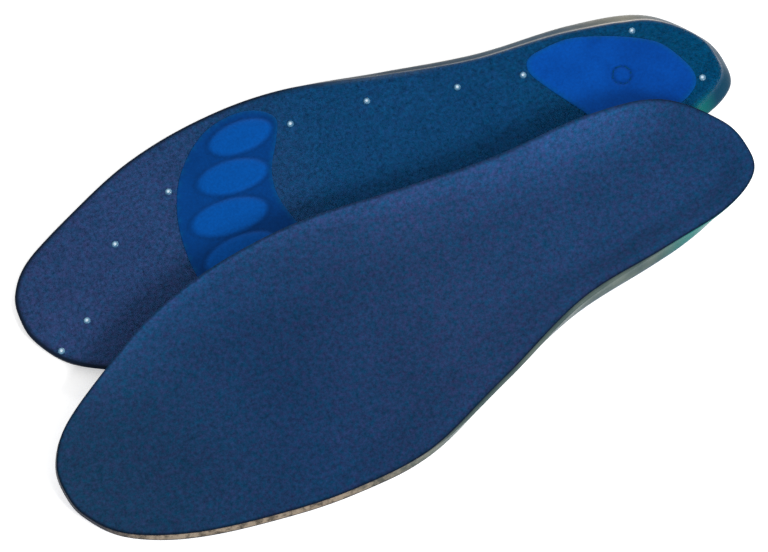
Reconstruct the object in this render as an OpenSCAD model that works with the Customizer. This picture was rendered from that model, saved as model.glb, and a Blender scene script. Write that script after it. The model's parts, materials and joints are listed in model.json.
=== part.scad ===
// A pair of cushioned full-length insoles, one turned over and the other lying across it.
// Millimetres. The lower insole lies along X, with its toe at -X. Z is up.

/* [Insole] */
// Length of one insole, from heel tip to toe tip
insole_length = 270; // [240:1:300]
// Width across the ball of the foot
ball_width = 94; // [84:1:104]
// Height of the rim around the heel cup, above the flat underside
heel_rim = 10.5; // [9:0.5:13]
// Height of the rim around the forefoot
fore_rim = 4; // [3.8:0.1:5]
// Thickness under the middle of the heel, with the top cover
heel_thick = 5.4; // [4.6:0.1:6]
// Thickness under the ball of the foot, with the top cover
fore_thick = 3.4; // [3:0.1:3.6]
// Thickness of the fabric top cover
cover_thick = 0.9; // [0.6:0.1:1.2]

/* [Heel cup and arch] */
// How far the wall under the heel rim slopes inwards on the outer side, going down
heel_wall_slope = 6; // [4:0.5:7]
// How far it slopes inwards at the very back of the heel
back_wall_slope = 3.5; // [2:0.5:6]
// How far it leans outwards, going down, on the arch side of the heel
inner_wall_flare = 1.7; // [0:0.1:3]
// How far it slopes inwards, going down, under the arch
arch_undercut = 1.2; // [0.6:0.2:6]
// How far it leans outwards, going down, on the big-toe side of the forefoot
fore_wall_flare = 1.3; // [0:0.1:1.6]
// Radius of the edge between the heel's wall and the underside
heel_edge = 3; // [2:0.2:4]
// How far the top surface slopes down from the heel rim, going inwards
heel_dish = 12; // [10:0.5:14]
// Extra width of that slope at the arch
arch_width = 10; // [4:1:12]

/* [Pads] */
// Depth of the recess that each coloured pad fills in the gel
pad_depth = 1.3; // [0.8:0.1:1.6]
// How far a pad stands out of the underside
pad_proud = 0.3; // [0.1:0.1:0.6]
// Height of each cushion lobe above its pad
lobe_rise = 0.8; // [0.4:0.1:1.2]
// Diameter of each moulding pip on the underside
pip_size = 3; // [2:0.2:3.6]
// Height of each moulding pip
pip_rise = 0.5; // [0.3:0.1:0.8]

/* [Flex line] */
// Width of the slit between the rear and the toe end of one insole
flex_slit = 0.4; // [0.3:0.1:0.8]

/* [Pair] */
// Angle between the two insoles, seen from above
cross_angle = 6.5; // [5:0.1:8]
// Distance between the two insoles' centre lines, at mid-length
side_step = 52.5; // [50:0.5:58]
// How far the upper insole is set towards the toe of the lower one
toe_step = 11; // [6:1:16]

/* [Hidden] */
$fn = 32;

// Outline of a right insole of 270 by 94: distance from the heel, then half width to the outside
// and half width to the arch side. The first and last entries are the heel tip and the toe tip.
REF_LENGTH = 270;
REF_WIDTH = 94;
HEEL_TIP = [0, -8.5];
TOE_TIP = [270, 0];
STATIONS = [
  [3.4, 4.6, 18.4],
  [19, 21.8, 24.7],
  [46, 29.2, 26.6],
  [81, 32, 29.8],
  [116, 38.5, 40],
  [151, 45.4, 48.4],
  [184, 46, 47.2],
  [213, 41.1, 41.5],
  [239, 30.8, 33.5],
  [259, 20.5, 22.5],
  [268, 10.2, 10.2]
];
STEPS = 4;
HALF = STEPS * (len(STATIONS) + 1);
FLEX = STEPS * 8;
SPINE_HEEL = 10;
SPINE_TOE = 36;

// Coloured pads: outlines on the underside, as distance from the heel and distance to the outside.
FOREFOOT_PAD = [
  [158, 35], [164, 41], [174, 42.5], [186, 39], [198, 28], [205, 13.5], [207.5, -3], [206, -19],
  [201, -33], [191, -40.5], [178, -41], [168, -35.5], [163.5, -25], [164.5, -14], [167.5, -3],
  [169, 7], [167, 17], [161, 27]
];
// Each cushion lobe: its centre, half length, half width and turn in degrees.
LOBES = [
  [172.5, 33, 12.2, 6.2, 1],
  [181, 19.8, 13.2, 6.6, 7],
  [188, 5.8, 14.2, 7, 6],
  [189.5, -9, 14, 7, -1],
  [184, -24.5, 13.6, 7.2, -8]
];
HEEL_PAD = [
  [68, 14], [66, 18.8], [59, 20.3], [49, 20], [38, 16.1], [28.3, 11.1], [20.5, 5.3], [16, -3],
  [14, -11], [16.3, -16.2], [24, -20], [36, -21.3], [47, -21.5], [53.5, -18.5], [55.5, -11],
  [60, -2.5], [65, 6.5]
];
HEEL_MARK = [38, -1];
// Centres of the moulding pips
PIPS = [
  [229, 13], [249, -10], [261.5, -17], [204, 24], [154, 30.5], [125.5, 27.5], [93.7, 19],
  [70.3, 13.6], [27.3, 13.5], [12.2, -13.9]
];

// Rest poses. The lower insole lies face down on its rim. The upper one lies face up, with one edge
// on the same surface and the other leaning on the lower insole.
LOWER_PITCH = 1.77;
LOWER_ROLL = 0.86;
UPPER_PITCH = 0.81;
UPPER_ROLL = -8.93;

function ease(x, a, b) =
  let (t = min(max((x - a) / (b - a), 0), 1))
  t * t * (3 - 2 * t);

// One point of a closed smooth curve through the points p, at place t, counted in points.
function curve_at(p, t) =
  let (
    n = len(p),
    i = floor(t),
    s = t - i,
    a = p[(i + n - 1) % n],
    b = p[i % n],
    c = p[(i + 1) % n],
    d = p[(i + 2) % n]
  )
  b + 0.5 * s * (c - a + s * (2 * a - 5 * b + 4 * c - d + s * (3 * (b - c) + d - a)));

CONTROL = concat(
  [HEEL_TIP],
  [for (s = STATIONS) [s[0], s[1]]],
  [TOE_TIP],
  [for (i = [len(STATIONS) - 1:-1:0]) [STATIONS[i][0], -STATIONS[i][2]]]
);
OUTLINE = [for (j = [0:2 * HALF - 1]) curve_at(CONTROL, j / STEPS)];

function half_index(j) = j <= HALF ? j : 2 * HALF - j;
function is_arch_side(j) = j > HALF;
function spine_index(j) = min(max(half_index(j), SPINE_HEEL), SPINE_TOE);
function spine_point(i) = (OUTLINE[i] + OUTLINE[2 * HALF - i]) / 2;

// Rim height, top height, widths of the slopes and edge radius along the insole.
function rim_height(u, arch) =
  heel_rim - (heel_rim - fore_rim) * (arch ? ease(u, 70, 190) : ease(u, 40, 170));
function top_height(u) = heel_thick - (heel_thick - fore_thick) * ease(u, 60, 190);
function dish_width(u, arch) =
  arch
    ? heel_dish + arch_width * ease(u, 60, 110) - (heel_dish + arch_width - 6) * ease(u, 130, 200)
    : heel_dish - (heel_dish - 6) * ease(u, 60, 190);
function wall_slope(u, arch) =
  arch
    ? back_wall_slope - (back_wall_slope + inner_wall_flare) * ease(u, 0, 44)
      + (arch_undercut + inner_wall_flare) * ease(u, 52, 122)
      - (arch_undercut + fore_wall_flare) * ease(u, 110, 168)
      + (fore_wall_flare - 0.4) * ease(u, 240, 270)
    : back_wall_slope + (heel_wall_slope - back_wall_slope) * ease(u, 3, 30)
      - 0.25 * heel_wall_slope * ease(u, 30, 75)
      - (0.75 * heel_wall_slope - 0.2) * ease(u, 80, 175) - 0.6 * ease(u, 250, 270);
function edge_radius(u) = heel_edge - (heel_edge - 0.8) * ease(u, 60, 170);

// Height of the top surface at a fraction f of the dish width in from the rim.
function dish_height(u, arch, f) =
  let (high = rim_height(u, arch) - 0.1, low = top_height(u))
  high - (high - low) * ease(f, 0, 1);

DISH = [1, 0.75, 0.48, 0.22];

// Each chain runs from the middle outwards and holds [distance in from the outline, height].
function gel_under(u, arch) =
  let (e = wall_slope(u, arch), r = edge_radius(u), h = rim_height(u, arch))
  [[e + r, 0], [e + 0.3 * r, 0.3 * r], [e, r], [0.3 * e, 0.55 * h], [0, h - 1], [0.2, h]];
function cover_under(u, arch) =
  concat(
    [for (f = DISH) [f * dish_width(u, arch), dish_height(u, arch, f) - cover_thick]],
    [[0.9, rim_height(u, arch) - cover_thick - 0.1]]
  );
function gel_over(u, arch) = concat(cover_under(u, arch), [[0.7, rim_height(u, arch)]]);
function cover_over(u, arch) =
  concat(
    [for (f = DISH) [f * dish_width(u, arch), dish_height(u, arch, f)]],
    [[0.95, rim_height(u, arch) - 0.1]]
  );

function chain(kind, over, u, arch) =
  kind == "gel"
    ? (over ? gel_over(u, arch) : gel_under(u, arch))
    : (over ? cover_over(u, arch) : cover_under(u, arch));
function spine_height(kind, over, u) =
  kind == "gel"
    ? (over ? top_height(u) - cover_thick : 0)
    : top_height(u) - (over ? 0 : cover_thick);

// From distance along, distance to the outside and height to x, y and z of a right insole.
function to_xyz(u, v, z) =
  [
    (u - REF_LENGTH / 2) * insole_length / REF_LENGTH,
    -v * ball_width / REF_WIDTH,
    z
  ];

function ring_points(kind, j, shift) =
  let (
    p = OUTLINE[j] + [shift, 0],
    c = spine_point(spine_index(j)) + [shift, 0],
    way = (c - p) / norm(c - p),
    arch = is_arch_side(j),
    under = chain(kind, false, p[0], arch),
    over = chain(kind, true, p[0], arch),
    n = len(under),
    all = concat(under, [for (k = [n - 1:-1:0]) over[k]])
  )
  [for (q = all) to_xyz(p[0] + way[0] * q[0], p[1] + way[1] * q[0], q[1])];

function turned(p, yaw, pitch, roll) =
  let (
    a = [p[0], p[1] * cos(roll) - p[2] * sin(roll), p[1] * sin(roll) + p[2] * cos(roll)],
    b = [a[0] * cos(pitch) + a[2] * sin(pitch), a[1], a[2] * cos(pitch) - a[0] * sin(pitch)]
  )
  [b[0] * cos(yaw) - b[1] * sin(yaw), b[0] * sin(yaw) + b[1] * cos(yaw), b[2]];

// Both posed skins, from which the resting heights and the middle of the pair follow.
SKIN = [for (j = [0:2 * HALF - 1]) each ring_points("gel", j, 0)];
LOWER_SKIN = [for (p = SKIN) turned([p[0], p[1], -p[2]], 180, LOWER_PITCH, LOWER_ROLL)];
UPPER_SKIN = [
  for (p = SKIN)
    turned(p, 180 + cross_angle, UPPER_PITCH, UPPER_ROLL) - [toe_step, side_step, 0]
];
LOWER_LIFT = -min([for (p = LOWER_SKIN) p[2]]);
UPPER_LIFT = -min([for (p = UPPER_SKIN) p[2]]);
BOTH = concat(LOWER_SKIN, UPPER_SKIN);
MIDDLE = [
  for (k = [0, 1])
    (min([for (p = BOTH) p[k]]) + max([for (p = BOTH) p[k]])) / 2
];

// One end of an insole as a closed shell: the rear, or the toe end beyond the flex line.
module shell(kind, toe) {
  loop = toe
    ? [for (j = [FLEX:2 * HALF - FLEX]) j]
    : [for (j = [-FLEX:FLEX]) (j + 2 * HALF) % (2 * HALF)];
  first = toe ? FLEX : SPINE_HEEL;
  last = toe ? SPINE_TOE : FLEX;
  gap = (toe ? 1 : -1) * flex_slit / 2;
  count = 2 * len(chain(kind, false, 0, false));
  half = count / 2;
  rings = [for (j = loop) each ring_points(kind, j, half_index(j) == FLEX ? gap : 0)];
  spine = [
    for (i = [first:last])
      let (c = spine_point(i) + [i == FLEX ? gap : 0, 0])
      each [
        to_xyz(c[0], c[1], spine_height(kind, false, c[0])),
        to_xyz(c[0], c[1], spine_height(kind, true, c[0]))
      ]
  ];
  base = len(loop) * count;
  end = len(loop) - 1;
  mid = [for (j = loop) base + 2 * (min(max(half_index(j), first), last) - first)];
  skin = [
    for (a = [0:end - 1])
      for (k = [0:count - 2])
        let (p = a * count + k, q = p + count)
        each k < half ? [[p, p + 1, q + 1], [p, q + 1, q]] : [[p, p + 1, q], [p + 1, q + 1, q]]
  ];
  floor_and_top = [
    for (a = [0:end - 1])
      let (p = a * count, q = p + count, m = mid[a], n = mid[a + 1])
      each concat(
        [[m, p, q], [p + count - 1, m + 1, q + count - 1]],
        m == n ? [] : [[m, q, n], [q + count - 1, m + 1, n + 1]]
      )
  ];
  cut = [
    for (side = [0, 1])
      for (k = [-1:half - 2])
        let (
          a = side == 0 ? 0 : end * count,
          m = mid[side == 0 ? 0 : end],
          p = k < 0 ? m : a + k,
          q = a + k + 1,
          r = a + count - 2 - k,
          s = k < 0 ? m + 1 : a + count - 1 - k,
          quad = [[p, r, q], [p, s, r]]
        )
        for (t = quad) side == 0 ? t : [t[0], t[2], t[1]]
  ];
  polyhedron(points = concat(rings, spine), faces = concat(skin, floor_and_top, cut), convexity = 6);
}

module pad_shape(p) {
  smooth = [for (t = [0:len(p) * 4 - 1]) curve_at(p, t / 4)];
  polygon([for (q = smooth) let (r = to_xyz(q[0], q[1], 0)) [r[0], r[1]]]);
}

module pad_recess(p) {
  translate([0, 0, -1]) linear_extrude(1 + pad_depth) pad_shape(p);
}

// A low rounded cushion that points down, on an oval base.
module lobe(half_length, half_width) {
  sides = 28;
  size = [1, 0.93, 0.72, 0.4];
  rise = [0, 0.5, 0.86, 0.98];
  sink = 0.2;
  function oval(f, z) =
    [for (a = [0:360 / sides:359]) [half_length * f * cos(a), half_width * f * sin(a), z]];
  rings = concat(
    oval(1, sink),
    [for (i = [0:3]) each oval(size[i], -rise[i] * lobe_rise)],
    [[0, 0, sink], [0, 0, -lobe_rise]]
  );
  top = 5 * sides;
  bands = [
    for (i = [0:3])
      for (k = [0:sides - 1])
        let (a = i * sides + k, b = i * sides + (k + 1) % sides)
        each [[a, b, b + sides], [a, b + sides, a + sides]]
  ];
  ends = [
    for (k = [0:sides - 1])
      let (b = (k + 1) % sides)
      each [[top, b, k], [top + 1, 4 * sides + k, 4 * sides + b]]
  ];
  polyhedron(points = rings, faces = concat(bands, ends), convexity = 2);
}

module gel(toe) {
  color([0.62, 0.72, 0.74]) {
    difference() {
      shell("gel", toe);
      if (!toe) {
        pad_recess(FOREFOOT_PAD);
        pad_recess(HEEL_PAD);
      }
    }
    for (p = PIPS)
      if ((p[0] > STATIONS[7][0]) == toe)
        translate(to_xyz(p[0], p[1], -pip_rise)) cylinder(d = pip_size, h = pip_rise + 0.4);
  }
}

module cover(toe) {
  color([0.12, 0.22, 0.38]) shell("cover", toe);
}

module forefoot_pad() {
  color([0, 0.33, 0.68]) {
    translate([0, 0, -pad_proud]) linear_extrude(pad_depth + pad_proud) pad_shape(FOREFOOT_PAD);
    for (l = LOBES)
      translate(to_xyz(l[0], l[1], -pad_proud))
        rotate([0, 0, -l[4]])
          lobe(l[2], l[3]);
  }
}

module heel_pad() {
  color([0, 0.3, 0.65])
    difference() {
      translate([0, 0, -pad_proud]) linear_extrude(pad_depth + pad_proud) pad_shape(HEEL_PAD);
      translate(to_xyz(HEEL_MARK[0], HEEL_MARK[1], -pad_proud))
        rotate_extrude()
          translate([3.4, 0]) circle(d = 0.9);
    }
}

module on_left() {
  translate([-MIDDLE[0], -MIDDLE[1], LOWER_LIFT])
    rotate([0, 0, 180])
      rotate([LOWER_ROLL, LOWER_PITCH, 0])
        mirror([0, 0, 1])
          children();
}

module on_right() {
  translate([-toe_step - MIDDLE[0], -side_step - MIDDLE[1], UPPER_LIFT])
    rotate([0, 0, 180 + cross_angle])
      rotate([UPPER_ROLL, UPPER_PITCH, 0])
        children();
}

module left_gel() { on_left() gel(false); }
module left_gel_toe() { on_left() gel(true); }
module left_cover() { on_left() cover(false); }
module left_cover_toe() { on_left() cover(true); }
module left_forefoot_pad() { on_left() forefoot_pad(); }
module left_heel_pad() { on_left() heel_pad(); }
module right_gel() { on_right() gel(false); }
module right_gel_toe() { on_right() gel(true); }
module right_cover() { on_right() cover(false); }
module right_cover_toe() { on_right() cover(true); }
module right_forefoot_pad() { on_right() forefoot_pad(); }
module right_heel_pad() { on_right() heel_pad(); }

left_gel();
left_gel_toe();
left_cover();
left_cover_toe();
left_forefoot_pad();
left_heel_pad();
right_gel();
right_gel_toe();
right_cover();
right_cover_toe();
right_forefoot_pad();
right_heel_pad();
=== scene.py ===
import json
import math

import bpy
import numpy as np
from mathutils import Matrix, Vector
from mathutils.geometry import delaunay_2d_cdt


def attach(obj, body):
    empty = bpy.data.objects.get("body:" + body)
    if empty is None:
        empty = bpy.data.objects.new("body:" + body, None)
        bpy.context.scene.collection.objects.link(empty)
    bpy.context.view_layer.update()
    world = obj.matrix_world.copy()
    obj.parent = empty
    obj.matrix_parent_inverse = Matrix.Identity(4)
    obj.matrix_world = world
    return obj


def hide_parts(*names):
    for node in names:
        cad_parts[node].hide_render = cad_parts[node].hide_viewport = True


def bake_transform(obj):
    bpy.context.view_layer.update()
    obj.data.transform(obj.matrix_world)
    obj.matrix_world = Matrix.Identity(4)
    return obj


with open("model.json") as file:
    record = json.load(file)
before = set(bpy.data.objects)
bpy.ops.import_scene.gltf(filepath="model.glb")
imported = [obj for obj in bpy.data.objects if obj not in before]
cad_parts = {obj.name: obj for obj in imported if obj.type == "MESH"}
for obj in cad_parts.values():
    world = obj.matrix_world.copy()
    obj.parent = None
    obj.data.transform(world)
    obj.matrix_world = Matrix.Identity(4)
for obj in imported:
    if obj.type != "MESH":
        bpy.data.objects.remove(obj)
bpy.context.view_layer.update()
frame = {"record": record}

# ---------------------------------------------------------------------------------------------
# Shape of one insole, in millimetres: u runs from the heel tip to the toe tip, v to the outside,
# and z up from the flat underside. The left insole is the same shape mirrored in z.
# ---------------------------------------------------------------------------------------------
LENGTH = 270.0
HEEL_RIM, FORE_RIM = 10.5, 4.0
HEEL_THICK, FORE_THICK = 5.4, 3.4
COVER = 0.9
PAD_DEPTH, PAD_PROUD, LOBE_RISE = 1.3, 0.3, 0.8
FLEX_U, HINGE_Z = 213.0, 4.2
BLEND_HALF = 7  # half length of a zone round the flex line, whose ends build() works out but does not use
LIP_DROP = 1.0  # how far the gel's edge ends below the rim, where the fabric starts
COVER_INSET = 0.9  # how far inside the outline the fabric's two faces end
CONTROL_HALF = 12
STEPS = 16

HEEL_TIP, TOE_TIP = (0, -8.5), (270, 0)
STATIONS = [
    (3.4, 4.6, 18.4), (19, 21.8, 24.7), (46, 29.2, 26.6), (81, 32, 29.8), (116, 38.5, 40),
    (151, 45.4, 48.4), (184, 46, 47.2), (213, 41.1, 41.5), (239, 30.8, 33.5),
    (259, 20.5, 22.5), (268, 10.2, 10.2),
]
FOREFOOT_PAD = [
    (158, 35), (164, 41), (174, 42.5), (186, 39), (198, 28), (205, 13.5), (207.5, -3),
    (206, -19), (201, -33), (191, -40.5), (178, -41), (168, -35.5), (163.5, -25), (164.5, -14),
    (167.5, -3), (169, 7), (167, 17), (161, 27),
]
LOBES = [  # centre, half length, half width, turn in degrees
    (172.5, 33, 12.2, 6.2, 1), (181, 19.8, 13.2, 6.6, 7), (188, 5.8, 14.2, 7, 6),
    (189.5, -9, 14, 7, -1), (184, -24.5, 13.6, 7.2, -8),
]
HEEL_PAD = [
    (68, 14), (66, 18.8), (59, 20.3), (49, 20), (38, 16.1), (28.3, 11.1), (20.5, 5.3), (16, -3),
    (14, -11), (16.3, -16.2), (24, -20), (36, -21.3), (47, -21.5), (53.5, -18.5), (55.5, -11),
    (60, -2.5), (65, 6.5),
]
HEEL_MARK, MARK_RADIUS = (38, -1), 3.4
PIPS = [
    (229, 13), (249, -10), (261.5, -17), (204, 24), (154, 30.5), (125.5, 27.5), (93.7, 19),
    (70.3, 13.6), (27.3, 13.5), (12.2, -13.9),
]


def ease(x, a, b):
    t = np.clip((np.asarray(x, float) - a) / (b - a), 0, 1)
    return t * t * (3 - 2 * t)


def closed_curve(points, steps):
    """A smooth closed curve through the points, with steps pieces between each two."""
    p = np.array(points, float)
    t = np.arange(len(p) * steps) / steps
    i = np.floor(t).astype(int)
    s = (t - i)[:, None]
    a, b, c, d = (p[(i + k) % len(p)] for k in (-1, 0, 1, 2))
    return b + 0.5 * s * (c - a + s * (2 * a - 5 * b + 4 * c - d + s * (3 * (b - c) + d - a)))


CONTROL = (
    [HEEL_TIP]
    + [(s[0], s[1]) for s in STATIONS]
    + [TOE_TIP]
    + [(s[0], -s[2]) for s in reversed(STATIONS)]
)
OUTLINE = closed_curve(CONTROL, STEPS)
COUNT = len(OUTLINE)
INDEX = np.arange(COUNT)
HALF = CONTROL_HALF * STEPS
ARCH = INDEX > HALF
ALONG = np.clip(np.minimum(INDEX, COUNT - INDEX), int(2.5 * STEPS), 9 * STEPS)
SPINE = (OUTLINE[ALONG] + OUTLINE[(COUNT - ALONG) % COUNT]) / 2
U = OUTLINE[:, 0]

rim = HEEL_RIM - (HEEL_RIM - FORE_RIM) * np.where(ARCH, ease(U, 70, 190), ease(U, 40, 170))
dish = np.where(
    ARCH,
    12 + 10 * ease(U, 60, 110) - 16 * ease(U, 130, 200),
    12 - 6 * ease(U, 60, 190),
)
slope = np.where(
    ARCH,
    3.5 - 5.2 * ease(U, 0, 44) + 2.9 * ease(U, 52, 122) - 2.5 * ease(U, 110, 168)
    + 0.9 * ease(U, 240, 270),
    3.5 + 2.5 * ease(U, 3, 30) - 1.5 * ease(U, 30, 75) - 4.3 * ease(U, 80, 175)
    - 0.6 * ease(U, 250, 270),
)
edge = 3 - 2.2 * ease(U, 60, 170)
# how far the fabric stops inside the gel's edge along the arch
ledge = np.where(ARCH, 1.3 * ease(U, 40, 78) * (1 - ease(U, 125, 160)), 0)


def top_height(u):
    return HEEL_THICK - (HEEL_THICK - FORE_THICK) * ease(u, 60, 190)


def dish_height(fraction):
    high, low = rim - 0.1, top_height(U)
    return high - (high - low) * ease(fraction, 0, 1)


def inset(distance):
    """The outline moved inwards towards the middle line by a distance that may vary along it."""
    way = SPINE - OUTLINE
    way /= np.linalg.norm(way, axis=1)[:, None]
    return OUTLINE + way * np.broadcast_to(distance, COUNT)[:, None]


def column(distance, height):
    return np.column_stack([inset(distance), np.broadcast_to(height, COUNT)])


def fill(ring, spine_z, count):
    """Columns from the middle line out to a ring, without the ring itself."""
    middle = np.column_stack([SPINE, np.broadcast_to(spine_z, COUNT)])
    return [middle + (ring - middle) * f for f in np.arange(count) / count]


# ---------------------------------------------------------------------------------------------
# The two insoles' places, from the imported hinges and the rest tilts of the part
# ---------------------------------------------------------------------------------------------
JOINTS = {j["name"]: j for j in frame["record"]["behaviour"]["joints"]}


def rotation(yaw, pitch, roll):
    y, p, r = (math.radians(a) for a in (yaw, pitch, roll))
    about_z = np.array([[math.cos(y), -math.sin(y), 0], [math.sin(y), math.cos(y), 0], [0, 0, 1]])
    about_y = np.array([[math.cos(p), 0, math.sin(p)], [0, 1, 0], [-math.sin(p), 0, math.cos(p)]])
    about_x = np.array([[1, 0, 0], [0, math.cos(r), -math.sin(r)], [0, math.sin(r), math.cos(r)]])
    return about_z @ about_y @ about_x


class Insole:
    def __init__(self, side, turn, flipped):
        self.side, self.flipped = side, flipped
        self.turn = turn @ np.diag([1, 1, -1]) if flipped else turn
        hinge = np.array(JOINTS[side + "_toe_flex"]["pos_m"]) * 1000
        self.shift = hinge - self.turn @ np.array([FLEX_U - LENGTH / 2, 0, HINGE_Z])

    def place(self, points):
        """From u, v and z in millimetres to the row frame in metres."""
        p = np.atleast_2d(np.asarray(points, float))
        local = np.column_stack([p[:, 0] - LENGTH / 2, -p[:, 1], p[:, 2]])
        return (local @ self.turn.T + self.shift) / 1000


# yaw, pitch and roll in degrees at which each insole rests
LEFT = Insole("left", rotation(180, 1.77, 0.86), True)
RIGHT = Insole("right", rotation(186.5, 0.81, -8.93), False)


# ---------------------------------------------------------------------------------------------
# Materials
# ---------------------------------------------------------------------------------------------
def srgb(r, g, b):
    """A linear colour from 0 to 255 screen values."""
    out = []
    for c in (r, g, b):
        c /= 255
        out.append(c / 12.92 if c <= 0.04045 else ((c + 0.055) / 1.055) ** 2.4)
    return (*out, 1.0)


class Nodes:
    def __init__(self, name):
        self.material = bpy.data.materials.new(name)
        self.material.use_nodes = True
        self.tree = self.material.node_tree
        self.shader = self.tree.nodes["Principled BSDF"]
        self.coord = self.tree.nodes.new("ShaderNodeTexCoord").outputs["Object"]

    def new(self, kind, **values):
        node = self.tree.nodes.new(kind)
        for key, value in values.items():
            setattr(node, key, value)
        return node

    def feed(self, socket, value):
        if isinstance(value, bpy.types.NodeSocket):
            self.tree.links.new(value, socket)
        else:
            socket.default_value = value

    def attribute(self, name):
        return self.new("ShaderNodeAttribute", attribute_name=name).outputs["Fac"]

    def noise(self, scale, detail=2.0, rough=0.5):
        node = self.new("ShaderNodeTexNoise")
        self.feed(node.inputs["Vector"], self.coord)
        node.inputs["Scale"].default_value = scale
        node.inputs["Detail"].default_value = detail
        node.inputs["Roughness"].default_value = rough
        return node.outputs["Fac"]

    def math(self, operation, a, b=0.0, clamp=False):
        node = self.new("ShaderNodeMath", operation=operation, use_clamp=clamp)
        self.feed(node.inputs[0], a)
        self.feed(node.inputs[1], b)
        return node.outputs[0]

    def remap(self, value, low, high, to_low, to_high):
        node = self.new("ShaderNodeMapRange", clamp=True)
        self.feed(node.inputs["Value"], value)
        limits = {"From Min": low, "From Max": high, "To Min": to_low, "To Max": to_high}
        for key, limit in limits.items():
            node.inputs[key].default_value = limit
        return node.outputs["Result"]

    def ramp(self, value, stops):
        node = self.new("ShaderNodeValToRGB")
        self.feed(node.inputs["Fac"], value)
        elements = node.color_ramp.elements
        while len(elements) < len(stops):
            elements.new(0.5)
        for element, (place, colour) in zip(elements, stops):
            element.position, element.color = place, colour
        return node.outputs["Color"]

    def mix(self, factor, a, b, blend="MIX"):
        node = self.new("ShaderNodeMix", data_type="RGBA", blend_type=blend)
        self.feed(node.inputs["Factor"], factor)
        self.feed(node.inputs[6], a)
        self.feed(node.inputs[7], b)
        return node.outputs[2]

    def tint(self, colour, factors):
        """A colour with its three channels multiplied by fixed factors."""
        return self.mix(1.0, colour, (*factors, 1), "MULTIPLY")

    def shade(self, colour, tone):
        """A colour with all its channels multiplied by one varying value."""
        grey = self.new("ShaderNodeCombineColor")
        for channel in grey.inputs:
            self.feed(channel, tone)
        return self.mix(1.0, colour, grey.outputs[0], "MULTIPLY")

    def bump(self, height, strength, distance):
        node = self.new("ShaderNodeBump")
        self.feed(node.inputs["Height"], height)
        node.inputs["Strength"].default_value = strength
        node.inputs["Distance"].default_value = distance
        self.feed(self.shader.inputs["Normal"], node.outputs["Normal"])

    def set(self, **values):
        for key, value in values.items():
            self.feed(self.shader.inputs[key.replace("_", " ")], value)


def fabric_material():
    """Navy knitted fabric: fine mottle of purple and teal fibres over a short nap, with painted
    light along the outer side's rim and a cut edge that is partly painted shade.
    """
    n = Nodes("cover_fabric")
    along, under = n.attribute("along"), n.attribute("under")
    cut, rise = n.attribute("cut"), n.attribute("rise")
    top = n.ramp(along, [
        (0.0, srgb(17, 50, 84)), (0.12, srgb(20, 50, 84)), (0.45, srgb(23, 48, 80)),
        (0.7, srgb(17, 45, 77)), (1.0, srgb(18, 46, 72)),
    ])
    # the side bonded to the gel, tinted more where the gel over it is thicker
    below = n.ramp(along, [
        (0.0, srgb(0, 52, 86)), (0.3, srgb(2, 50, 86)), (0.58, srgb(6, 51, 88)),
        (0.72, srgb(24, 51, 90)), (0.85, srgb(28, 49, 87)), (1.0, srgb(29, 49, 84)),
    ])
    base = n.mix(under, top, below)
    fibre = n.noise(560, 3.0, 0.7)
    warm, cool = n.tint(base, (2.1, 0.84, 1.0)), n.tint(base, (0.35, 1.1, 1.0))
    mottle = n.mix(n.remap(fibre, 0.3, 0.7, 0, 1), warm, cool)
    fine = n.remap(n.noise(760, 4.0, 0.85), 0.3, 0.7, 0.55, 1.5)
    patch = n.remap(n.noise(26, 3.0, 0.6), 0.3, 0.7, 0.9, 1.1)
    tone = n.math("MULTIPLY", fine, patch)
    # painted light: the top is up to 1.7 times lighter towards the outer side's rim
    tone = n.math("MULTIPLY", tone, n.remap(rise, 0.0, 1.0, 1.0, 1.7))
    # the cut edge down to 0.22 times: partly the cut fabric's own darker edge, partly painted
    # shade, less of it along the outer side
    tone = n.math("MULTIPLY", tone, n.remap(cut, 0.0, 1.0, 1.0, 0.22))
    n.bump(fibre, 0.3, 0.0003)
    n.set(
        Base_Color=n.shade(mottle, tone),
        Roughness=n.remap(fibre, 0.3, 0.7, 0.84, 0.96),
        Specular_IOR_Level=0.03,
        Sheen_Weight=0.05,
        Sheen_Roughness=0.5,
        Sheen_Tint=(0.4, 0.6, 0.9, 1),
    )
    return n.material


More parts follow.
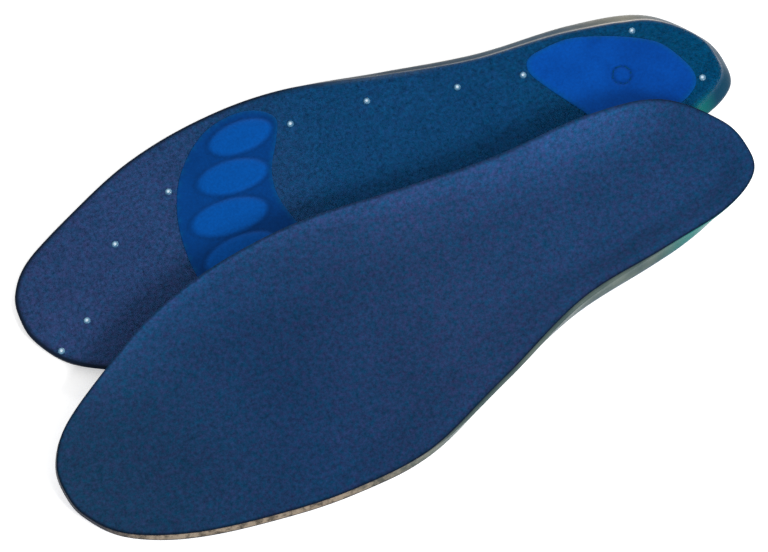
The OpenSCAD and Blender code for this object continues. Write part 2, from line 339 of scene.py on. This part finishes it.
def gel_material():
    """Clear gel, imitated: a mostly opaque skin in the colours that show through real gel.

    On the flat it carries the tinted fabric's colour and grain. The wall is cloudy, beige along
    the forefoot and teal at the heel; its pale colours are partly painted reflection of the pale
    floor and surroundings. A painted highlight lines the outer side's lower edge near the heel.
    """
    n = Nodes("clear_gel")
    wall, along = n.attribute("wall"), n.attribute("along")
    pale, outer, painted_highlight = n.attribute("pale"), n.attribute("outer"), n.attribute("painted_highlight")
    cloud = n.noise(60, 3.0, 0.55)
    patch = n.remap(cloud, 0.4, 0.6, 0, 1)
    # the wall's grey, beige and outer-side colours: partly the cloudy gel and partly painted
    # reflection of the pale floor and surroundings, so the outer side's wall is painted paler than
    # the arch side's
    grey = n.mix(patch, srgb(76, 88, 84), srgb(56, 72, 72))
    specks = n.remap(n.noise(380, 3.0, 0.7), 0.42, 0.62, 0, 1)
    beige = n.mix(specks, srgb(128, 116, 102), srgb(72, 66, 58))
    side = n.mix(n.remap(along, 0.52, 0.7, 0, 1), grey, beige)
    side = n.mix(outer, side, n.mix(patch, srgb(122, 120, 108), srgb(94, 96, 88)))
    heel = n.mix(n.remap(along, 0.035, 0.065, 0, 1), srgb(0, 50, 72), srgb(0, 96, 92))
    heel = n.mix(outer, heel, srgb(0, 50, 72))
    deep = n.mix(n.remap(along, 0.25, 0.6, 0, 1), heel, srgb(14, 24, 40))
    side = n.mix(pale, deep, side)
    flat = n.ramp(along, [
        (0.0, srgb(0, 64, 100)), (0.3, srgb(12, 62, 104)), (0.55, srgb(16, 63, 105)),
        (0.75, srgb(38, 64, 106)), (1.0, srgb(40, 62, 102)),
    ])
    fibre = n.remap(n.noise(560, 3.0, 0.7), 0.3, 0.7, 0, 1)
    warm, cool = n.tint(flat, (1.5, 0.9, 1.0)), n.tint(flat, (0.5, 1.08, 1.0))
    flat = n.mix(fibre, warm, cool)
    # the grain: from black to twice the colour
    fine = n.remap(n.noise(760, 4.0, 0.85), 0.3, 0.7, 0.4, 1.55)
    flat = n.mix(n.math("MULTIPLY", fine, 0.5), (0, 0, 0, 1), n.tint(flat, (2, 2, 2)))
    thick = n.math("ADD", n.math("MULTIPLY", wall, 0.35), n.remap(cloud, 0.3, 0.7, 0.68, 0.8))
    n.set(
        # painted highlight: along its line the gel takes a pale cream colour and full opacity
        Base_Color=n.mix(painted_highlight, n.mix(wall, flat, side), srgb(216, 204, 190)),
        Alpha=n.math("ADD", thick, painted_highlight, True),
        Roughness=n.remap(n.noise(160, 2.0, 0.5), 0.3, 0.7, 0.24, 0.36),
        IOR=1.42,
        Specular_IOR_Level=0.04,
    )
    n.bump(n.noise(240, 2.0, 0.5), 0.06, 0.0004)
    return n.material


def pad_material():
    """Bright blue soft gel, lighter on the raised lobes and faintly uneven, with a satin skin;
    its grooves are darkened as painted shade.
    """
    n = Nodes("blue_gel")
    lobe, margin, along = n.attribute("lobe"), n.attribute("margin"), n.attribute("along")
    groove_shade = n.attribute("groove_shade")
    cloud = n.noise(70, 3.0, 0.6)
    heel = n.mix(n.remap(cloud, 0.35, 0.65, 0, 1), srgb(0, 54, 129), srgb(0, 61, 141))
    ball = n.mix(n.remap(cloud, 0.35, 0.65, 0, 1), srgb(0, 47, 104), srgb(0, 53, 115))
    heel = n.mix(n.remap(along, 0.12, 0.25, 0, 1), heel, n.tint(heel, (1, 1.3, 1.22)))
    base = n.mix(n.remap(along, 0.3, 0.5, 0, 1), heel, ball)
    base = n.mix(lobe, base, srgb(0, 68, 142))
    base = n.mix(n.math("MULTIPLY", margin, 0.5), base, srgb(0, 70, 116))
    grain = n.remap(n.noise(1100, 2.0, 0.6), 0.3, 0.7, 0.88, 1.12)
    # painted shade: darker in the grooves round the lobes and in the heel mark's ring
    grain = n.math("MULTIPLY", grain, n.remap(groove_shade, 0, 1, 1.0, 0.55))
    n.set(
        Base_Color=n.shade(base, grain),
        Roughness=n.remap(cloud, 0.3, 0.7, 0.38, 0.52),
        IOR=1.4,
        Specular_IOR_Level=0.06,
    )
    n.bump(n.math("ADD", n.noise(900, 2.0, 0.5), n.math("MULTIPLY", cloud, 2.0)), 0.08, 0.0003)
    return n.material


def pip_material():
    """Small clear nubs that catch a point of light, with a painted highlight: a whitish top."""
    n = Nodes("clear_pip")
    cloud, tip = n.noise(600, 2.0, 0.5), n.attribute("tip")
    ring = n.mix(n.remap(cloud, 0.35, 0.65, 0, 1), srgb(118, 164, 190), srgb(66, 116, 150))
    n.set(
        # painted highlight: the top of each nub is whitish and opaque
        Base_Color=n.mix(tip, ring, srgb(196, 208, 218)),
        Alpha=n.math("ADD", n.remap(cloud, 0.3, 0.7, 0.55, 0.75), tip, True),
        Roughness=n.remap(cloud, 0.3, 0.7, 0.06, 0.14),
        IOR=1.5,
    )
    n.bump(cloud, 0.2, 0.0002)
    return n.material


FABRIC, GEL, BLUE, PIP = fabric_material(), gel_material(), pad_material(), pip_material()


# ---------------------------------------------------------------------------------------------
# Meshes
# ---------------------------------------------------------------------------------------------
def add_mesh(name, insole, points, faces, material, attributes):
    """A smooth mesh from local points in millimetres, with coincident points merged."""
    points = np.asarray(points, float)
    _, first, where = np.unique(np.round(points, 4), axis=0, return_index=True, return_inverse=True)
    where = where.ravel()
    kept = []
    for face in faces:
        ring = [int(where[i]) for i in face]
        ring = [a for a, b in zip(ring, ring[1:] + ring[:1]) if a != b]
        if len(set(ring)) > 2:
            kept.append(ring[::-1] if insole.flipped else ring)
    mesh = bpy.data.meshes.new(name)
    mesh.from_pydata([tuple(p) for p in insole.place(points[first])], [], kept)
    for key, values in attributes.items():
        layer = mesh.attributes.new(key, "FLOAT", "POINT")
        layer.data.foreach_set("value", np.asarray(values, np.float32)[first])
    mesh.polygons.foreach_set("use_smooth", [True] * len(mesh.polygons))
    mesh.materials.append(material)
    mesh.update()
    piece = bpy.data.objects.new(name, mesh)
    bpy.context.scene.collection.objects.link(piece)
    return piece


def grid_faces(columns):
    """Faces of a closed loop of columns; the points lie column by column."""
    faces = []
    for k in range(columns - 1):
        for j in range(COUNT):
            a, b = k * COUNT + j, k * COUNT + (j + 1) % COUNT
            faces.append((a, b, b + COUNT, a + COUNT))
    return faces


def cover_piece(insole):
    """The fabric top cover: one dished sheet that reaches the gel's rim, with a cut edge."""
    shares = np.linspace(1, 0, 15)[:-1]
    bottom_edge = COVER_INSET + ledge
    top_edge = COVER_INSET + 0.05 + ledge
    under = [column(f * dish + bottom_edge * (1 - f), dish_height(f) - COVER) for f in shares]
    over = [column(f * dish + top_edge * (1 - f), dish_height(f)) for f in shares]
    middle = top_height(SPINE[:, 0])
    under = fill(under[0], middle - COVER, 9) + under + [column(bottom_edge, rim - LIP_DROP)]
    over = fill(over[0], middle, 9) + over
    rounding = [(0.35, 0.92), (0.16, 0.78), (0.1, 0.5), (0.16, 0.22), (0.4, 0.06), (0.8, 0.04)]
    cut = [column(d + ledge, rim - z) for d, z in rounding]
    columns = under + cut + over[::-1]
    n_under, n_cut = len(under), len(cut)
    side = [1.0] * n_under + [0.0] * (n_cut + len(over))
    # the outer side between heel and toe: there the top gets painted light towards the rim, and the
    # painted shade on the cut edge is weaker
    raised = np.where(ARCH, 0, ease(U, 4, 45) * (1 - ease(U, 215, 266)))
    dark = 1 - 0.75 * raised
    shade = [0 * U] * n_under
    shade += [dark * k for k in (1, 1, 1, 1, 0.9, 0.35)]
    shade += [0 * U] * len(over)
    # painted light on the top, strongest at the rim
    rise = [0 * U] * (len(columns) - len(over))
    rise += [raised * (0.45 + 0.55 * f) for f in 1 - shares[::-1]]
    rise += [raised * 0.45 * ease(f, 0.4, 1) for f in np.arange(9)[::-1] / 9]
    return add_mesh(
        insole.side + "_fabric_cover", insole, np.vstack(columns), grid_faces(len(columns)), FABRIC,
        {
            "along": np.hstack([c[:, 0] for c in columns]) / LENGTH,
            "under": np.repeat(side, COUNT),
            "cut": np.hstack(shade),
            "rise": np.hstack(rise),
        },
    )


def gel_piece(insole):
    """The clear gel's outer skin: flat underside, rounded edge, sloping wall and lip."""
    angles = np.radians(np.linspace(0, 90, 8))
    low = [column(slope + edge * (1 - np.sin(a)), edge * (1 - np.cos(a))) for a in angles]
    rise = [(0.22, 0.74), (0.45, 0.47), (0.66, 0.25), (0.84, 0.09), (1.0, 0.0)]
    wall = [column(slope * s, edge + (rim - LIP_DROP - edge) * f) for f, s in rise]
    lip = [
        column(0.08, rim - 0.8),
        column(0.35 + ledge, rim - 0.86),
        column(2.0 + ledge, rim - 1.1),
    ]
    last = column(slope + edge + 1.5, 0.0)
    flat = fill(last, 0.0, 10) + [last]
    columns = flat + low + wall + lip
    fore = ease(U, 90, 165)
    # pale: where the wall takes its pale colours, which are partly cloudy gel and partly painted
    # reflection
    pale_arch = ease(U, 30, 52) * (1 - ease(U, 252, 268))
    pale = np.where(ARCH, pale_arch, ease(U, 8, 24) * (1 - fore))
    # painted highlight: a pale line along the outer side's lower edge, between the heel and the
    # waist, where the rounded gel edge would catch the light
    line = ease(U, 5, 18) * (1 - 0.75 * ease(U, 30, 55)) * (1 - ease(U, 70, 95))
    heel_highlight = np.where(ARCH, 0, line)
    none = np.zeros(COUNT)
    cloudy, milky_and_reflected, painted_highlight = [none] * len(flat), [none] * len(flat), [none] * len(flat)
    for f in np.linspace(0, 1, len(low)):
        cloudy.append(0.7 * ease(f, 0.1, 1.0) * (1 - fore) + fore)
        milky_and_reflected.append(pale * (1 - fore))
        painted_highlight.append(heel_highlight * math.exp(-(((f - 0.6) / 0.16) ** 2)))
    for share in [s for _, s in rise] + [0] * len(lip):
        cloudy.append(none + 1)
        milky_and_reflected.append(pale * np.where(ARCH, 1, 1 - ease(share, 0.03, 0.3) * ease(U, 28, 55)))
        painted_highlight.append(none)
    return add_mesh(
        insole.side + "_clear_gel", insole, np.vstack(columns), grid_faces(len(columns)), GEL,
        {
            "along": np.hstack([c[:, 0] for c in columns]) / LENGTH,
            "wall": np.hstack(cloudy),
            "pale": np.hstack(milky_and_reflected),
            "painted_highlight": np.hstack(painted_highlight),
            "outer": np.tile(np.where(ARCH, 0.0, 1.0), len(columns)),
        },
    )


def double_area(ring):
    """Twice a closed outline's area, positive if it runs anticlockwise."""
    ahead = np.roll(ring, -1, axis=0)
    return np.sum(ring[:, 0] * ahead[:, 1] - ahead[:, 0] * ring[:, 1])


def offset_inwards(ring, distance):
    """A closed outline moved inwards by a small distance."""
    along = np.roll(ring, -1, axis=0) - np.roll(ring, 1, axis=0)
    along /= np.linalg.norm(along, axis=1)[:, None]
    turn = 1 if double_area(ring) > 0 else -1
    inwards = np.column_stack([-along[:, 1], along[:, 0]]) * turn
    return ring + inwards * distance


def inside(points, ring):
    """Which of the points lie inside a closed outline."""
    hit = np.zeros(len(points), bool)
    for a, b in zip(ring, np.roll(ring, -1, axis=0)):
        crosses = (a[1] > points[:, 1]) != (b[1] > points[:, 1])
        with np.errstate(divide="ignore", invalid="ignore"):
            x = a[0] + (points[:, 1] - a[1]) * (b[0] - a[0]) / (b[1] - a[1])
        hit ^= crosses & (points[:, 0] < x)
    return hit


def lobe_height(points):
    """The cushion lobes: height above the pad, share on a lobe, painted shade in the groove round
    it.
    """
    height, mask, groove_shade = (np.zeros(len(points)) for _ in range(3))
    for u, v, a, b, turn in LOBES:
        c, s = math.cos(math.radians(turn)), math.sin(math.radians(turn))
        du, dv = points[:, 0] - u, points[:, 1] - v
        r = np.hypot((du * c + dv * s) / a, (dv * c - du * s) / b)
        height = np.maximum(height, LOBE_RISE * np.clip(1 - r**4, 0, 1) ** 0.6)
        groove = np.exp(-(((r - 1.07) / 0.06) ** 2))
        height -= 0.07 * groove
        # painted shade in the groove round each lobe
        groove_shade = np.maximum(groove_shade, 0.4 * groove)
        mask = np.maximum(mask, 1 - ease(r, 0.86, 1.04))
    return height, mask, groove_shade


def mark_height(points):
    """A plain ring sunk into the heel pad, in the same three values as lobe_height; its third is
    the painted shade in the ring.
    """
    r = np.hypot(points[:, 0] - HEEL_MARK[0], points[:, 1] - HEEL_MARK[1])
    ring = np.exp(-(((r - MARK_RADIUS) / 0.5) ** 2))
    return -0.4 * ring, np.zeros(len(points)), ring


def pad_piece(name, insole, outline, relief):
    """A soft pad with a rounded edge, filled with a fine net of points that carry its relief."""
    ring = closed_curve(outline, 10)
    inner = offset_inwards(ring, 0.5)
    low, high = ring.min(axis=0), ring.max(axis=0)
    pitch = 0.9
    us, vs = np.arange(low[0], high[0], pitch), np.arange(low[1], high[1], pitch * 0.866)
    net = np.array([(u + (k % 2) * pitch / 2, v) for k, v in enumerate(vs) for u in us])
    net = net[inside(net, offset_inwards(ring, 1.0))]
    flat = [Vector(p) for p in np.vstack([inner, net])]
    border = [(i, (i + 1) % len(ring)) for i in range(len(ring))]
    verts, _, tris, *_ = delaunay_2d_cdt(flat, border, [], 1, 1e-5)
    top = np.array([tuple(v) for v in verts])
    height, mask, groove_shade = relief(top)
    surface = np.column_stack([top, -PAD_PROUD - height])
    count, start = len(ring), len(surface)
    # the rounded edge and the side, from the surface down to the bottom of the recess
    bands = [
        np.column_stack([loop, np.full(count, level)])
        for loop, level in (
            (offset_inwards(ring, 0.2), -PAD_PROUD + 0.07),
            (offset_inwards(ring, 0.05), -PAD_PROUD + 0.2),
            (ring, -PAD_PROUD + 0.45),
            (ring, PAD_DEPTH),
        )
    ]
    faces = [tuple(t) for t in tris]
    turn = 1 if double_area(ring) > 0 else -1
    rows = [list(range(count))]
    rows += [[start + k * count + i for i in range(count)] for k in range(len(bands))]
    for upper, lower in zip(rows, rows[1:]):
        for i in range(count):
            j = (i + 1) % count
            quad = (upper[i], lower[i], lower[j], upper[j])
            faces.append(quad if turn > 0 else quad[::-1])
    faces.append(tuple(rows[-1]) if turn < 0 else tuple(rows[-1][::-1]))
    points = np.vstack([surface, *bands])
    to_ring = (points[:, None, :2] - ring[None, ::3]).transpose(2, 0, 1)
    distance = np.min(np.hypot(*to_ring), axis=1)
    extra = np.zeros(len(points) - start)
    return add_mesh(
        name, insole, points, faces, BLUE,
        {
            "lobe": np.hstack([mask, extra]),
            "groove_shade": np.hstack([groove_shade, extra]),
            "margin": 1 - ease(distance, 0.2, 2.2),
            "along": points[:, 0] / LENGTH,
        },
    )


def pip_piece(name, insole, centres):
    """The small round nubs that the mould's pins leave, each with a dimple in its top."""
    profile = [
        (0, -0.18), (0.35, -0.24), (0.6, -0.42), (0.85, -0.5), (1.05, -0.42), (1.18, -0.2),
        (1.25, 0.05),
    ]
    sides, points, faces, tip = 20, [], [], []
    for u, v in centres:
        base = len(points)
        for r, z in profile:
            for k in range(sides):
                a = 2 * math.pi * k / sides
                points.append((u + r * math.cos(a), v + r * math.sin(a), z))
                # tip: how far a point lies on the whitish top that is painted as a highlight
                tip.append(float(1 - ease(r, 0.2, 0.7)))
        for i in range(len(profile) - 1):
            for k in range(sides):
                a, b = base + i * sides + k, base + i * sides + (k + 1) % sides
                faces.append((a, a + sides, b + sides, b))
    return add_mesh(name, insole, points, faces, PIP, {"tip": tip})


def build(insole):
    """All pieces of one insole; each hides the part it stands for, and the pads and pips ride on
    their bodies.
    """
    side, rear, toes = insole.side, insole.side + "_insole", insole.side + "_toes"
    start, end = insole.place([[FLEX_U - BLEND_HALF, 0, 0], [FLEX_U + BLEND_HALF, 0, 0]])
    cover = cover_piece(insole)
    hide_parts(side + "_cover", side + "_cover_toe")
    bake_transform(cover)
    gel = gel_piece(insole)
    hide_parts(side + "_gel", side + "_gel_toe")
    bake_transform(gel)
    ball = pad_piece(side + "_ball_cushion", insole, FOREFOOT_PAD, lobe_height)
    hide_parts(side + "_forefoot_pad")
    heel = pad_piece(side + "_heel_cushion", insole, HEEL_PAD, mark_height)
    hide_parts(side + "_heel_pad")
    for pad in (ball, heel):
        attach(pad, rear)
    for name, body, spots in (
        (side + "_pips", rear, [p for p in PIPS if p[0] < FLEX_U]),
        (side + "_toe_pips", toes, [p for p in PIPS if p[0] > FLEX_U]),
    ):
        pips = pip_piece(name, insole, spots)
        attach(pips, body)


build(LEFT)
build(RIGHT)


# ---------------------------------------------------------------------------------------------
# Floor, light and camera
# ---------------------------------------------------------------------------------------------
def floor():
    """A pale floor just under the object, faintly lit so that it renders as plain white."""
    n = Nodes("floor")
    n.set(
        Base_Color=(0.95, 0.95, 0.95, 1),
        Roughness=0.9,
        Specular_IOR_Level=0.0,
        Emission_Color=(1, 1, 1, 1),
        Emission_Strength=0.35,
    )
    size, level = 3.0, -0.0002
    corners = [(-size, -size), (size, -size), (size, size), (-size, size)]
    mesh = bpy.data.meshes.new("floor")
    mesh.from_pydata([(x, y, level) for x, y in corners], [], [(0, 1, 2, 3)])
    mesh.materials.append(n.material)
    piece = bpy.data.objects.new("floor", mesh)
    bpy.context.scene.collection.objects.link(piece)


def direction(azimuth, elevation):
    """The unit vector from the object towards an azimuth and elevation in degrees."""
    a, e = math.radians(azimuth), math.radians(elevation)
    return Vector((math.sin(a) * math.cos(e), -math.cos(a) * math.cos(e), math.sin(e)))


def lamp(name, azimuth, elevation, distance, width, height, power, target):
    """A rectangular soft light that looks at the target."""
    data = bpy.data.lights.new(name, "AREA")
    data.shape, data.size, data.size_y, data.energy = "RECTANGLE", width, height, power
    obj = bpy.data.objects.new(name, data)
    way = direction(azimuth, elevation)
    obj.location = target + way * distance
    obj.rotation_euler = (-way).to_track_quat("-Z", "Y").to_euler()
    bpy.context.scene.collection.objects.link(obj)


def camera():
    """The camera at the photograph's viewing angle."""
    data = bpy.data.cameras.new("camera")
    data.sensor_width, data.lens = 36, 188.6
    data.clip_start, data.clip_end = 0.05, 20
    obj = bpy.data.objects.new("camera", data)
    back = direction(-23.56, 67.24)
    distance = 1.426
    # the point on the floor that the camera looks at, in millimetres from the lower insole's middle
    target = Vector((LEFT.shift[0] - 10.7, LEFT.shift[1] - 34.28, 0)) / 1000
    obj.location = target + back * distance
    obj.rotation_mode = "QUATERNION"
    obj.rotation_quaternion = (-back).to_track_quat("-Z", "Y")
    bpy.context.scene.collection.objects.link(obj)
    bpy.context.scene.camera = obj


floor()
middle = Vector((0, 0, 0.01))
lamp("key", 22, 42, 1.5, 0.45, 0.45, 19, middle)
lamp("fill", -95, 40, 1.7, 0.9, 0.9, 3, middle)
lamp("strip", 150, 24, 1.5, 1.2, 0.14, 5, middle)
world = bpy.data.worlds.new("studio")
bpy.context.scene.world = world
world.use_nodes = True
background = world.node_tree.nodes["Background"]
background.inputs["Color"].default_value = (1, 1, 1, 1)
background.inputs["Strength"].default_value = 0.72
bpy.context.scene.view_settings.view_transform = "Standard"
camera()
